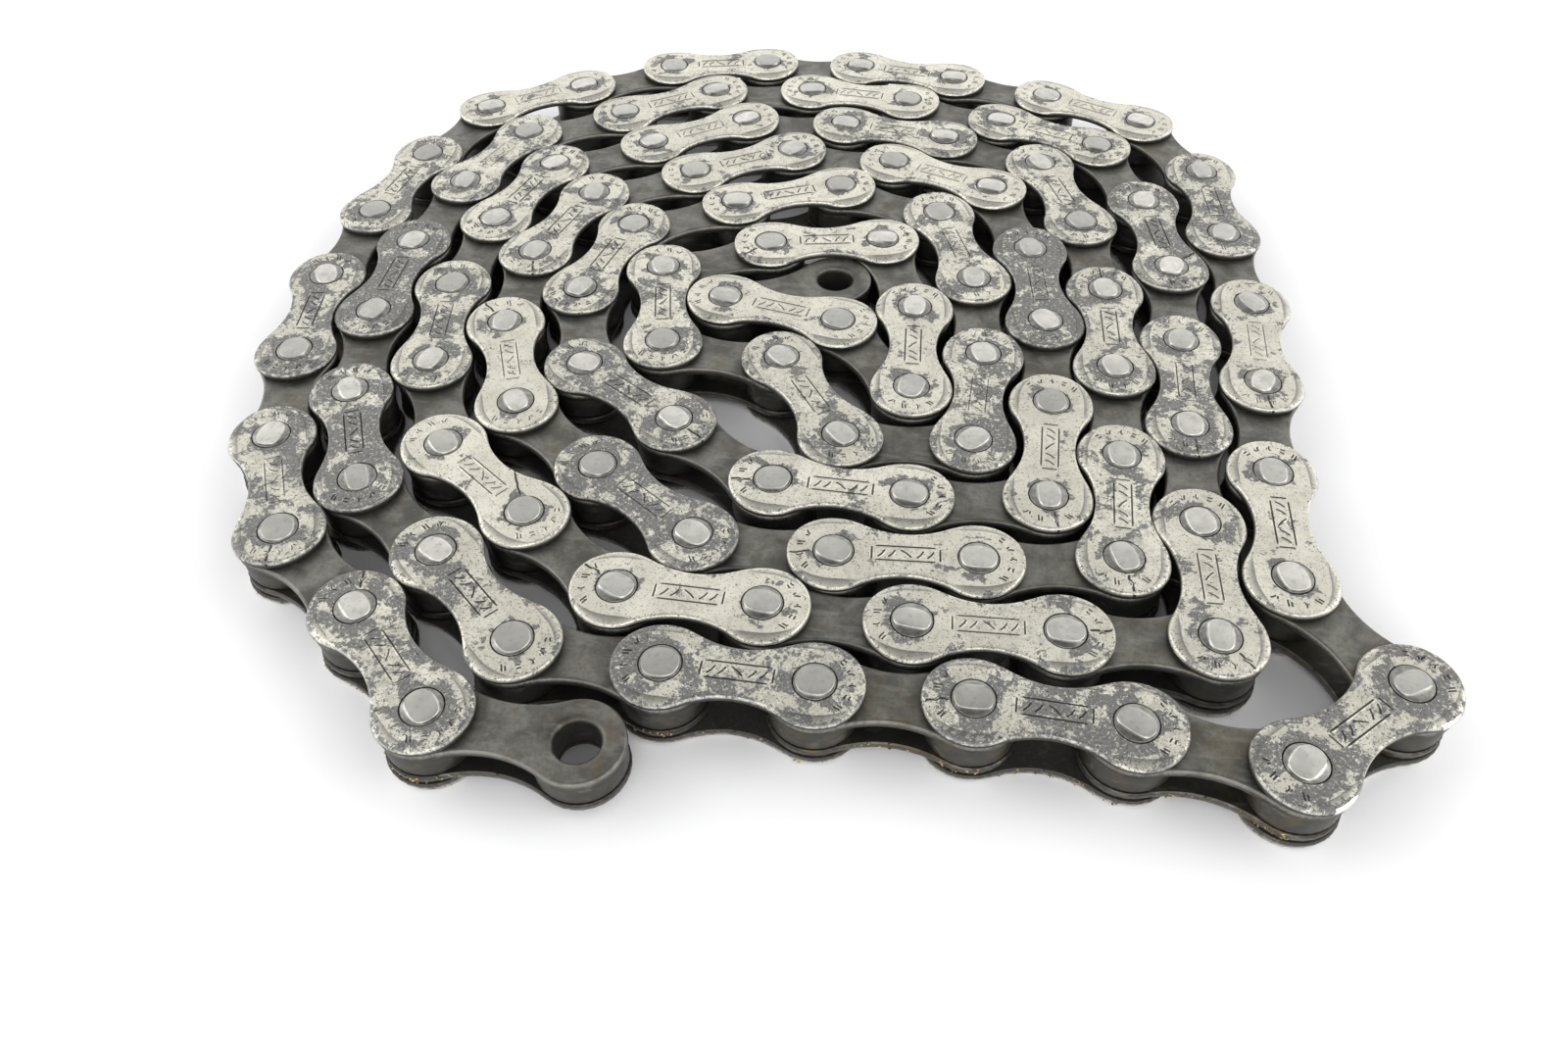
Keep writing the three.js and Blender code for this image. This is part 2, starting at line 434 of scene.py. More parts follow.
def stamped_rows(skin):
    """The press's marks: a row of short strokes round the far side of each pin and a framed row on the waist.

    They are slants, hooks and bars with no letter among them.
    """
    # round a pin: each mark is two strokes, given by where they start and end across and out, and their bow
    slants = ((-0.26, 0.0, -0.02, 0.8, 0.0), (0.08, 0.12, 0.26, 0.72, 0.0))
    bars = ((-0.27, 0.2, 0.24, 0.26, 0.05), (-0.22, 0.62, 0.28, 0.58, 0.05))
    hook = ((-0.16, 0.05, -0.1, 0.78, 0.2), (0.12, 0.34, 0.3, 0.4, 0.0))
    wedge = ((-0.28, 0.72, 0.0, 0.1, -0.06), (0.12, 0.1, 0.3, 0.45, 0.0))
    near_row = ((-46, slants), (-23, bars), (0, hook), (23, wedge), (46, bars))
    far_row = ((-38, wedge), (-13, slants), (13, hook), (38, slants))
    marks = []
    for end, row in enumerate((near_row, far_row)):
        for place, mark in row:
            for first, low, last, high, bow in mark:
                out = np.array([2.62 + low, 2.62 + high])
                turn = math.radians(180 + place) + np.array([first, last]) / out
                line = np.stack([out * np.cos(turn), out * np.sin(turn)], axis=1)
                line = np.array([PITCH, 0]) - line if end else line
                marks.append((*line[0], *line[1], bow))
    # on the waist: a long frame with leaning bars in it
    left, right, half = 3.35, PITCH - 3.35, 0.8
    marks += [(left, -half, right, -half, 0.0), (right, -half, right, half, 0.0)]
    marks += [(right, half, left, half, 0.0), (left, half, left, -half, 0.0)]
    for place, lean in ((4.2, 0.34), (5.1, 0.34), (6.35, -0.55), (7.6, 0.34), (8.5, 0.34)):
        marks.append((place - lean, -0.46, place + lean, 0.46, 0.09))
    marks = np.array(marks)
    return strokes(marks[:, 0:2], marks[:, 2:4], marks[:, 4], skin, width=0.14)


def crack(seed, turn, end, skin, bore):
    """A hairline crack from a pin's hole over the face and down the wall, wandering in small random steps."""
    random = np.random.default_rng(seed)
    rim = float(reach(np.array(math.remainder(turn, 2 * math.pi)), 0.0, OUTER["end"], OUTER["waist"]))
    out = np.concatenate([np.linspace(bore + 0.06, rim - 0.02, 9), [rim + 0.004] * 2])
    wander = np.concatenate([[0], np.cumsum(random.normal(0, 0.022, 10))])
    angle = turn + wander * 2.2 / out
    x, y = out * np.cos(angle), out * np.sin(angle)
    inner = np.minimum(out, rim - 0.02)
    height = skin(inner * np.cos(angle), inner * np.sin(angle))
    height = np.concatenate([height[:9], [0.5, 0.14]])
    lift = np.array([-0.03, 0.014, 0.016, 0.014, -0.03])
    across = np.array([-1.3, -1.0, 0.0, 1.0, 1.3]) * random.uniform(0.08, 0.115)
    outer = np.concatenate([np.zeros(8), [0.4, 1, 1]])
    grid = np.stack(
        [
            x[:, None] - np.sin(angle)[:, None] * across + np.cos(angle)[:, None] * lift * outer[:, None],
            y[:, None] + np.cos(angle)[:, None] * across + np.sin(angle)[:, None] * lift * outer[:, None],
            height[:, None] + lift * (1 - outer)[:, None],
        ],
        axis=-1,
    )
    grid[0], grid[-1] = grid[0, 2] - [0, 0, 0.03], grid[-1, 2] - [0, 0, 0.02]
    if end:
        grid = grid * np.array([-1, -1, 1]) + np.array([PITCH, 0, 0])
    index = np.arange(grid.shape[0] * 5).reshape(-1, 5)
    return struck(grid, index, np.full(index.size, 1.5))


def chipped(solid, compass, heading):
    """Marks the rim that faces one compass direction, which is painted near white as chipped steel and as a painted
    highlight.

    The mark is 1 within 14 degrees of it and 0.2 mm of the edge, and fades to 0 over as much again.
    """
    x, y, _ = solid["points"].T
    beyond = np.where(x > PITCH / 2, x - PITCH, x)
    turn = np.arctan2(y, beyond) + heading - math.radians(compass)
    away = np.abs(np.angle(np.exp(1j * turn)))
    chip = np.clip(2 - away / math.radians(14), 0, 1) * np.clip(2 - solid["edge"] / 0.2, 0, 1)
    return {**solid, "chip": chip}


def grains(seed, count, low, high, kind, size, side=None):
    """Grit and rust grains on a lower plate's edge: octahedra of three random half-axes, pressed into the wall.

    Where side is given, only the grains that lie within 53 degrees of it from the plate's middle are kept.
    """
    random = np.random.default_rng(seed)
    angle = random.uniform(-math.pi, math.pi, count)
    end = random.integers(0, 2, count)
    out = reach(angle, 0.02, kind["end"], kind["waist"])
    out = np.where(np.abs(out * np.cos(angle) - PITCH / 2) < 0.01, kind["end"] - 0.02, out)
    centre = np.stack([out * np.cos(angle), out * np.sin(angle), random.uniform(low, high, count)], axis=1)
    centre = np.where(end[:, None] == 1, centre * [-1, -1, 1] + [PITCH, 0, 0], centre)
    if side is not None:
        kept = np.cos(np.arctan2(centre[:, 1], centre[:, 0] - PITCH / 2) - side) > 0.6
        centre, count = centre[kept], int(kept.sum())
    corners = np.array([[1, 0, 0], [-1, 0, 0], [0, 1, 0], [0, -1, 0], [0, 0, 1], [0, 0, -1]], float)
    sizes = random.uniform(0.4 * size, 1.4 * size, (count, 1, 3))
    points = centre[:, None] + corners * sizes
    points[..., 2] = np.maximum(points[..., 2], 0.01)
    faces = np.array([[0, 2, 4], [2, 1, 4], [1, 3, 4], [3, 0, 4], [2, 0, 5], [1, 2, 5], [3, 1, 5], [0, 3, 5]])
    solid = {
        "points": points.reshape(-1, 3),
        "faces": (faces + 6 * np.arange(count)[:, None, None]).reshape(-1, 3),
    }
    return marked(solid, grain=1.0, edge=2.0)


# ---- pins and rollers ----

PIN_DISC = 1.56  # radius of the disc that a pin's hammered flat is cut from


def tube(index):
    """Triangles between neighbouring closed rings of points, where index is (..., rings, points round)."""
    here, there = index[..., :-1, :], index[..., 1:, :]
    quads = np.stack([here, there, np.roll(there, -1, axis=-1), np.roll(here, -1, axis=-1)], axis=-1)
    return halved(quads.reshape(-1, 4))


def revolved(radii, heights, steps, marks=None):
    """A profile carried round the Z axis. Each ring's radius is one number, or one for each step round."""
    angle = np.arange(steps) * 2 * math.pi / steps
    radius = np.array([np.broadcast_to(ring, steps) for ring in radii], float)
    x, y = radius * np.cos(angle), radius * np.sin(angle)
    z = np.broadcast_to(np.array(heights, float)[:, None], x.shape)
    index = np.arange(x.size).reshape(x.shape)
    solid = {"points": np.stack([x, y, z], axis=-1).reshape(-1, 3), "faces": tube(index)}
    for name, values in (marks or {}).items():
        solid[name] = np.repeat(np.array(values, float), steps)
    return outward(welded(solid))


def pin_solid(steps, flat, radius):
    """A riveted pin: a low domed flat, a facet on each side of it, a round shelf, a straight shaft, a plain foot.

    The flat is a disc with two sides cut off at flat from the middle, its corners softened:
    radius = ((|cos| / flat)^6 + 1 / PIN_DISC^6)^(-1/6).
    """
    angle = np.arange(steps) * 2 * math.pi / steps
    cut = ((np.abs(np.cos(angle)) / flat) ** 6 + PIN_DISC**-6) ** (-1 / 6)
    radii = [0, 0.45 * cut, 0.9 * cut, cut, cut + 0.05, (cut + 1.7) / 2, 1.65, 1.73]
    radii += [radius, radius, radius, 1.68, 1.2, 0]
    falls = [0, 0.004, 0.014, 0.024, 0.07, 0.16, 0.24, 0.27, 0.34, 0.6]
    heights = [PIN_TOP - fall for fall in falls] + [0.3, 0.03, 0.0, 0.0]
    # per ring: 1 on the polished flat, less on the shoulders, which are painted darker as shade, and 0 down the
    # shaft, which is painted black as dirty steel and shade
    polish_and_shade_rings = [1, 1, 1, 1, 0.9, 0.5, 0.46, 0.4, 0, 0, 0, 0, 0.5, 0.5]
    return revolved(radii, heights, steps, {"polish": polish_and_shade_rings})


def roller_solid():
    """A roller: a tube with rounded rims and a wall a hair smaller at its ends."""
    low, high = LOWER_INNER + PLATE + 0.02, UPPER_INNER - 0.02
    outer, bore = 3.86, 1.95
    radii = [bore, outer - 0.25, outer - 0.06, outer, outer, outer - 0.06, outer - 0.25, bore, bore]
    heights = [high, high, high - 0.08, high - 0.3, low + 0.3, low + 0.08, low, low, high]
    return revolved(radii, heights, 32)


# ---- materials ----


class Recipe:
    """Adds nodes to one material, each call returning the socket that the next one reads."""

    def __init__(self, name):
        self.material = bpy.data.materials.new(name)
        self.material.use_nodes = True
        self.tree = self.material.node_tree
        self.shader = self.tree.nodes["Principled BSDF"]
        self.column = -2600

    def add(self, kind, **settings):
        node = self.tree.nodes.new(kind)
        self.column += 60
        node.location = (self.column, 300 - (self.column * 7) % 900)
        for key, value in settings.items():
            setattr(node, key, value)
        return node

    def plug(self, value, socket):
        if isinstance(value, bpy.types.NodeSocket):
            self.tree.links.new(value, socket)
        else:
            socket.default_value = value

    def place(self, scale):
        """Object coordinates in millimetres, stretched by scale."""
        coordinates = self.add("ShaderNodeTexCoord")
        mapping = self.add("ShaderNodeMapping")
        mapping.inputs["Scale"].default_value = tuple(s / MM for s in scale)
        self.tree.links.new(coordinates.outputs["Object"], mapping.inputs["Vector"])
        return mapping.outputs["Vector"]

    def height(self, place):
        node = self.add("ShaderNodeSeparateXYZ")
        self.plug(place, node.inputs[0])
        return node.outputs["Z"]

    def mark(self, name):
        """A number carried by the mesh's points."""
        return self.add("ShaderNodeAttribute", attribute_name=name).outputs["Fac"]

    def noise(self, place, size, detail=4.0, rough=0.5, warp=0.0):
        """Fractal noise with features of about size millimetres."""
        node = self.add("ShaderNodeTexNoise")
        self.plug(place, node.inputs["Vector"])
        for name, value in (("Scale", 1 / size), ("Detail", detail), ("Roughness", rough), ("Distortion", warp)):
            node.inputs[name].default_value = value
        return node.outputs["Fac"]

    def sum(self, operation, *terms):
        """One step of arithmetic; MULTIPLY_ADD takes three terms and the others two."""
        node = self.add("ShaderNodeMath", operation=operation)
        for term, socket in zip(terms, node.inputs):
            self.plug(term, socket)
        return node.outputs[0]

    def step(self, value, low, high, start=0.0, end=1.0):
        """A smooth step of value from low to high."""
        node = self.add("ShaderNodeMapRange", interpolation_type="SMOOTHSTEP")
        for socket, v in zip(("Value", "From Min", "From Max", "To Min", "To Max"), (value, low, high, start, end)):
            self.plug(v, node.inputs[socket])
        return node.outputs["Result"]

    def blend(self, share, a, b):
        """Colour a towards colour b by share."""
        node = self.add("ShaderNodeMix", data_type="RGBA")
        self.plug(share, node.inputs[0])
        self.plug(a, node.inputs[6])
        self.plug(b, node.inputs[7])
        return node.outputs[2]

    def bump(self, height, distance, normal=None):
        node = self.add("ShaderNodeBump")
        node.inputs["Strength"].default_value = 1.0
        node.inputs["Distance"].default_value = distance * MM
        self.plug(height, node.inputs["Height"])
        if normal is not None:
            self.plug(normal, node.inputs["Normal"])
        return node.outputs["Normal"]

    def finish(self, color, roughness, metallic, normal=None):
        self.plug(color, self.shader.inputs["Base Color"])
        self.plug(roughness, self.shader.inputs["Roughness"])
        self.shader.inputs["Metallic"].default_value = metallic
        if normal is not None:
            self.plug(normal, self.shader.inputs["Normal"])
        return self.material


def rgba(color, share=1.0):
    """A colour with its alpha, its brightness multiplied by share."""
    return (*(c * share for c in color), 1.0)


def plated_steel(looks):
    """Nickel plating, flaked off in ragged patches to grey steel, with fine black pits, worn bright edges,
    dirty stamped furrows, dark rings round the pins that are dirty and also painted shade, walls darkened
    partly as bare oily steel and partly as painted shade, painted shade along the coining's crease,
    near-white rims that are chips and also a painted highlight, and rust low down."""
    m = Recipe("plated steel, flaked")
    place = m.place((1, 1, 1))
    wear, furrow, edge, facing, grain = (m.mark(n) for n in ("wear", "furrow", "edge", "facing", "grain"))
    ring, crease, dull = m.mark("ring"), m.mark("crease"), m.mark("dull")

    # ragged patches: coarse noise broken up by finer noise, cut off at a level that falls with wear
    patches = m.noise(place, 2.6, detail=9, rough=0.66, warp=0.25)
    ragged = m.noise(place, 0.55, detail=6, rough=0.7)
    field = m.sum("ADD", m.sum("MULTIPLY", patches, 0.72), m.sum("MULTIPLY", ragged, 0.28))
    sided = m.step(m.noise(place, 3.0, detail=1), 0.42, 0.58)
    field = m.sum("ADD", field, m.sum("MULTIPLY", m.sum("MULTIPLY", ring, sided), 0.16))
    field = m.sum("ADD", field, m.step(edge, 0.1, 0.6, 0.03, 0))
    level = m.sum("MULTIPLY_ADD", wear, -0.235, 0.645)
    bare = m.step(m.sum("SUBTRACT", field, level), -0.006, 0.012)
    # crumbs of plating left in the patches and small losses in the plating
    crumbs = m.noise(place, 0.3, detail=5, rough=0.75, warp=0.4)
    bare = m.sum("MULTIPLY", bare, m.step(crumbs, 0.39, 0.43))
    outskirts = m.sum("MULTIPLY", m.step(edge, 0.15, 0.8, 1, 0), 0.035)
    losses = m.step(m.sum("ADD", m.sum("ADD", crumbs, m.sum("MULTIPLY", wear, 0.14)), outskirts), 0.65, 0.67)
    bare = m.sum("MAXIMUM", bare, losses)

    tone = m.noise(place, 3.5, detail=3, rough=0.5)
    plating = m.blend(m.step(tone, 0.35, 0.65), rgba(looks.plating), rgba(looks.plating_dull))
    mottle = m.noise(place, 0.22, detail=3, rough=0.6)
    plating = m.blend(m.step(mottle, 0.5, 0.75, 0, 0.32), plating, rgba(looks.flaked))
    veil = m.sum("ADD", m.noise(place, 0.8, detail=7, rough=0.72, warp=0.3), m.sum("MULTIPLY", wear, 0.14))
    plating = m.blend(m.step(veil, 0.53, 0.68, 0, 0.42), plating, rgba(looks.plating_dull, 0.5))
    plating = m.blend(dull, plating, rgba(looks.plating_dull, 0.55))
    steel = m.blend(m.step(mottle, 0.3, 0.7), rgba(looks.flaked, 0.8), rgba(looks.flaked, 1.25))
    color = m.blend(bare, plating, steel)

    pits = m.step(m.sum("ADD", m.noise(place, 0.16, detail=2, rough=0.5), outskirts), 0.65, 0.68)
    color = m.blend(m.sum("MULTIPLY", pits, 0.85), color, rgba(looks.pits))

    rim = m.sum("MULTIPLY", m.step(edge, 0.01, 0.13, 1, 0), facing)
    rim = m.sum("MULTIPLY", rim, m.step(ragged, 0.42, 0.6, 0.0, 0.75))
    color = m.blend(rim, color, rgba(looks.worn_edge))
    # the walls are darkened, partly as bare oily steel and partly as painted shade on the plates' sides
    wall = m.sum("SUBTRACT", 1.0, facing)
    color = m.blend(m.sum("MULTIPLY", wall, 0.94), color, rgba(looks.bare_dark, 0.6))
    # painted shade along the crease where the coined slope starts
    color = m.blend(m.sum("MULTIPLY", crease, 0.75), color, rgba(looks.flaked, 0.6))

    # near white on the marked rims: chipped steel and a painted highlight
    chip = m.step(m.sum("ADD", m.mark("chip"), m.sum("MULTIPLY", ragged, 0.9)), 1.2, 1.26)
    color = m.blend(chip, color, rgba(looks.chip))

    # dirty steel and painted shade: a dark ring where each pin meets the plate
    dirt_and_shade = m.sum("MULTIPLY", m.step(ring, 0.94, 1.0), 0.9)
    color = m.blend(dirt_and_shade, color, rgba(looks.dirt_and_shade))
    color = m.blend(m.step(furrow, 0.18, 0.55, 0, 0.93), color, rgba(looks.dirt_and_shade))

    # a faint even film of rust, low on the walls of the rusted links
    low = m.step(m.height(place), 0.15, 1.0, 1, 0)
    rusty = m.sum("MULTIPLY_ADD", m.mark("rusted"), 0.08, 0.5)
    rust = m.sum("MULTIPLY", low, m.step(rusty, 0.56, 0.66))
    rust_color = m.blend(m.step(crumbs, 0.55, 0.7), rgba(looks.rust), rgba(looks.rust_gold))
    color = m.blend(rust, color, rust_color)
    color = m.blend(grain, color, m.blend(m.step(ragged, 0.4, 0.6), rgba(looks.rust), rgba(looks.rust_gold)))

    roughness = m.step(bare, 0, 1, 0.44, 0.55)
    roughness = m.sum("SUBTRACT", roughness, m.sum("MULTIPLY", m.sum("MAXIMUM", rim, chip), 0.12))
    roughness = m.sum("ADD", roughness, m.sum("MULTIPLY", m.sum("MAXIMUM", rust, dirt_and_shade), 0.35))
    relief = m.sum("SUBTRACT", m.sum("MULTIPLY", mottle, 0.3), bare)
    relief = m.sum("SUBTRACT", relief, pits)
    normal = m.bump(relief, 0.012, m.bump(tone, 0.05))
    return m.finish(color, roughness, 0.85, normal)


def bare_steel(looks):
    """Inner plates and rollers: satin grey-brown steel, mottled with oil, rubbed at the edges, a little rusty, with
    painted shade on the walls and rollers, and a dark ring beside each outer plate's end that is grimy and also
    painted shade.
    """
    m = Recipe("bare steel, oily")
    place = m.place((1, 1, 1))
    edge, facing = m.mark("edge"), m.mark("facing")
    soft = m.noise(place, 3.2, detail=6, rough=0.62, warp=0.3)
    fine = m.noise(place, 0.35, detail=6, rough=0.7)
    color = m.blend(m.step(soft, 0.36, 0.64), rgba(looks.bare_dark), rgba(looks.bare_light))
    color = m.blend(m.step(fine, 0.42, 0.7, 0, 0.5), color, rgba(looks.bare_dark, 0.8))
    color = m.blend(m.step(fine, 0.28, 0.36, 0.3, 0), color, rgba(looks.bare_edge))
    # painted shade: the walls of the inner plates and the rollers are darkened
    wall = m.sum("SUBTRACT", 1.0, facing)
    color = m.blend(m.sum("MULTIPLY", wall, 0.85), color, rgba(looks.bare_dark, 0.55))
    # painted shade and grimy steel: darker in the ring beside each outer plate's end and round the mouths
    grime_and_shade = m.sum("MULTIPLY", m.mark("ring"), m.step(fine, 0.3, 0.6, 0.75, 0.35))
    color = m.blend(grime_and_shade, color, rgba(looks.dirt_and_shade))
    rub = m.sum("MULTIPLY", m.step(edge, 0.02, 0.16, 1, 0), facing)
    color = m.blend(m.sum("MULTIPLY", rub, m.step(fine, 0.4, 0.6, 0.2, 0.6)), color, rgba(looks.bare_edge))
    tint = m.noise(place, 2.0, detail=7, rough=0.7, warp=0.3)
    stain = m.sum("MULTIPLY_ADD", m.mark("rusted"), 0.06, tint)
    color = m.blend(m.step(stain, 0.5, 0.7, 0, 0.55), color, rgba(looks.oil))
    scuff = m.noise(m.place((0.35, 1.2, 1)), 1.1, detail=6, rough=0.6)
    color = m.blend(m.step(scuff, 0.54, 0.68, 0, 0.3), color, rgba(looks.bare_edge))
    low = m.step(m.height(place), 0.6, 1.8, 1, 0)
    color = m.blend(m.sum("MULTIPLY", low, m.step(stain, 0.52, 0.64, 0, 0.8)), color, rgba(looks.rust))
    color = m.blend(m.mark("grain"), color, m.blend(m.step(fine, 0.4, 0.6), rgba(looks.rust), rgba(looks.rust_gold)))
    normal = m.bump(fine, 0.006)
    return m.finish(color, 0.46, 0.85, normal)


def pin_steel(looks):
    """Peened pin ends: bright hammered flats, some darkened by painted shade, shoulders darkened by painted shade,
    and black where the pin meets the plate, as dirty steel and painted shade.
    """
    m = Recipe("pin steel, peened")
    place = m.place((1, 1, 1))
    polish = m.mark("polish")
    streak = m.noise(place, 0.5, detail=5, rough=0.6)
    soft = m.noise(place, 1.6, detail=3, rough=0.5)
    flat = m.blend(m.step(soft, 0.3, 0.7), rgba(looks.pin), rgba(looks.pin, 0.8))
    # painted shade: the shade mark darkens some pins' flats
    flat = m.blend(m.sum("MULTIPLY", m.mark("shade"), 0.75), flat, rgba(looks.pin, 0.42))
    flat = m.blend(m.step(streak, 0.5, 0.75, 0, 0.4), flat, rgba(looks.flaked))
    # painted shade: the shoulders are darker than the flat
    shoulder = m.blend(m.step(streak, 0.35, 0.65), rgba(looks.pin, 0.42), rgba(looks.pin, 0.26))
    color = m.blend(m.step(polish, 0.55, 0.85), shoulder, flat)
    # dirty steel and painted shade: the foot is black where the pin meets the plate
    color = m.blend(m.step(polish, 0.05, 0.35), rgba(looks.dirt_and_shade), color)
    normal = m.bump(streak, 0.006)
    return m.finish(color, 0.34, 0.9, normal)


def pale_table(stage):
    """A pale matt table, very faintly uneven."""
    m = Recipe("pale table")
    place = m.place((1, 1, 1))
    soft = m.noise(place, 40.0, detail=3, rough=0.5)
    color = m.blend(m.step(soft, 0.3, 0.7), rgba(stage.floor), rgba(stage.floor, 0.97))
    return m.finish(color, 0.6, 0.0)


# ---- settings ----


class ChainSizes(bpy.types.PropertyGroup):
    pin_flat: bpy.props.FloatProperty(
        name="Pin flat", description="Half the width of the hammered flat on a pin", default=1.02 * MM, unit="LENGTH"
    )
    pin_radius: bpy.props.FloatProperty(
        name="Pin radius", description="Radius of a pin's shaft", default=1.78 * MM, unit="LENGTH"
    )
    outer_bore: bpy.props.FloatProperty(
        name="Outer bore", description="Radius of the hole that a pin is riveted in", default=1.83 * MM, unit="LENGTH"
    )
    inner_bore: bpy.props.FloatProperty(
        name="Inner bore", description="Radius of the open hole at a free end", default=1.92 * MM, unit="LENGTH"
    )


def color_property(name, description, default):
    return bpy.props.FloatVectorProperty(
        name=name, description=description, default=default, subtype="COLOR", size=3, min=0.0, max=1.0
    )


class ChainLooks(bpy.types.PropertyGroup):
    plating: color_property("Plating", "Nickel plating where it is whole", (0.72, 0.7, 0.605))
    plating_dull: color_property("Dull plating", "Nickel plating where it has dulled", (0.61, 0.59, 0.505))
    flaked: color_property("Flaked", "Steel where the plating has gone", (0.185, 0.183, 0.176))
    worn_edge: color_property("Worn edge", "Rubbed edge of an outer plate", (0.75, 0.73, 0.67))
    pits: color_property("Pits", "Black pits in the plating", (0.04, 0.037, 0.032))
    # used for dirty steel, and for painted shade round the pins and beside the outer plates' ends
    dirt_and_shade: color_property("Dirt", "Dirt in the furrows and round the pins", (0.02, 0.018, 0.016))
    bare_light: color_property("Bare steel, light", "Inner plates where they are rubbed", (0.2, 0.196, 0.174))
    bare_dark: color_property("Bare steel, dark", "Inner plates where they are oily", (0.095, 0.093, 0.082))
    bare_edge: color_property("Bare steel, edge", "Rubbed edge of an inner plate", (0.28, 0.27, 0.25))
    oil: color_property("Oil", "Brown oil stains on the inner plates", (0.125, 0.1, 0.062))
    pin: color_property("Pin", "Hammered end of a pin", (0.63, 0.615, 0.57))
    # near white, for chipped rims and a painted highlight on them
    chip: color_property("Chip", "Freshly chipped bright steel", (0.95, 0.93, 0.88))
    rust: color_property("Rust", "Brown rust", (0.11, 0.07, 0.04))
    rust_gold: color_property("Rust, yellow", "Yellow rust grains", (0.5, 0.38, 0.2))


class ChainStage(bpy.types.PropertyGroup):
    floor: color_property("Floor", "Pale table under the chain", (0.93, 0.93, 0.94))
    sky: bpy.props.FloatProperty(
        name="Sky", description="Strength of the light from all round", default=1.75, min=0.0
    )
    key: bpy.props.FloatProperty(name="Key", description="Power of each large soft light", default=1.6, min=0.0)


# ---- operators ----


class CHAIN_OT_outer_plates(bpy.types.Operator):
    """Makes the two outer plates of every outer link, with their strokes, cracks and grit"""

    bl_idname = "chain.outer_plates"
    bl_label = "Outer plates"

    def execute(self, context):
        bore = context.scene.chain_sizes.outer_bore / MM
        material = plated_steel(context.scene.chain_looks)
        pins, headings = lay_out()
        random = np.random.default_rng(5)

        def skin(x, y):
            return face_height(x, y, OUTER, bore)

        upper = plate(OUTER, bore, fine=True)
        lower = flipped(plate(OUTER, bore, fine=False))
        stamp = stamped_rows(skin)
        for solid in (upper, lower, stamp):
            x, y, _ = solid["points"].T
            solid["ring"] = np.clip((bore + 1.3 - pin_distance(x, y)) / 1.3, 0, 1)
        stamp["ring"] = stamp["ring"] * 0.0
        for link in range(1, len(BENDS) // 2 + 1):
            first = 2 * link - 1
            pin, heading = pins[first], headings[first]
            wear = {**FLAKED, **PATCHY}.get(link, random.uniform(0.2, 0.36))
            tilt = random.normal(0, 0.0035, 2)
            deep = random.uniform(0.55, 1.0)
            top = [upper, {**stamp, "furrow": stamp["furrow"] * deep}]
            if link in CHIPS_AND_HIGHLIGHTS:
                top[0] = chipped(upper, CHIPS_AND_HIGHLIGHTS[link], heading)
            if link in CRACKS:
                end, compass = CRACKS[link]
                turn = math.radians(compass) - heading - (math.pi if end else 0.0)
                top.append(crack(link, turn, end, skin, bore))
            solids = [placed(solid, pin, heading, UPPER_OUTER, tilt) for solid in top]
            solids.append(placed(lower, pin, heading, LOWER_OUTER))
            if link in GRITTY:
                side = math.radians(GRITTY[link]) - heading
                grit = grains(100 + link, 120, 0.1, 0.8, OUTER, 0.13, side)
            else:
                grit = grains(100 + link, 10, 0.1, 0.8, OUTER, 0.07)
            solids.append(placed(grit, pin, heading, LOWER_OUTER))
            whole = marked(joined(solids), dull=random.uniform(0.0, 0.22), rusted=link in RUSTED)
            # a worn link is barest over its waist
            whole["wear"] = wear * (0.94 + 0.22 * np.exp(-((whole["local"][:, 0] - PITCH / 2) ** 2) / 9))
            make_piece(f"outer_plates_{link:02d}", whole, material, [node_of(link)])
        return {"FINISHED"}


class CHAIN_OT_pins(bpy.types.Operator):
    """Makes the two riveted pins of every outer link"""

    bl_idname = "chain.pins"
    bl_label = "Pins"

    def execute(self, context):
        sizes = context.scene.chain_sizes
        material = pin_steel(context.scene.chain_looks)
        pins, headings = lay_out()
        random = np.random.default_rng(8)
        for link in range(1, len(BENDS) // 2 + 1):
            first = 2 * link - 1
            solids = []
            for number in (first, first + 1):
                # some pins were hammered all over and have no facets; the rest have a flat along the plate. Each flat
                # is darkened by painted shade, deepest on the pins hammered all over.
                whole = random.uniform() < 0.3
                flat = 1.5 if whole else sizes.pin_flat / MM * random.uniform(0.85, 1.15)
                solid = pin_solid(28, flat, sizes.pin_radius / MM)
                # the hammer leaves each flat a little out of level: its height falls along a random slope
                x, y, z = solid["points"].T
                near = np.clip((z - PIN_TOP + 0.3) / 0.2, 0, 1)
                slope = random.normal(0, 0.022, 2)
                fall = (slope[0] * x + slope[1] * y - np.abs(slope).sum() * PIN_DISC) * near
                solid["points"] = np.stack([x, y, z + fall], axis=1)
                solid = marked(solid, shade=random.uniform(0.6, 1.0) if whole else random.uniform(0.0, 0.7))
                turn = headings[first] + math.pi / 2 + random.normal(0, 0.25)
                solids.append(placed(solid, pins[number], turn, 0.0))
            make_piece(f"pins_{link:02d}", joined(solids), material, [node_of(link)], crease=28.0)
        return {"FINISHED"}


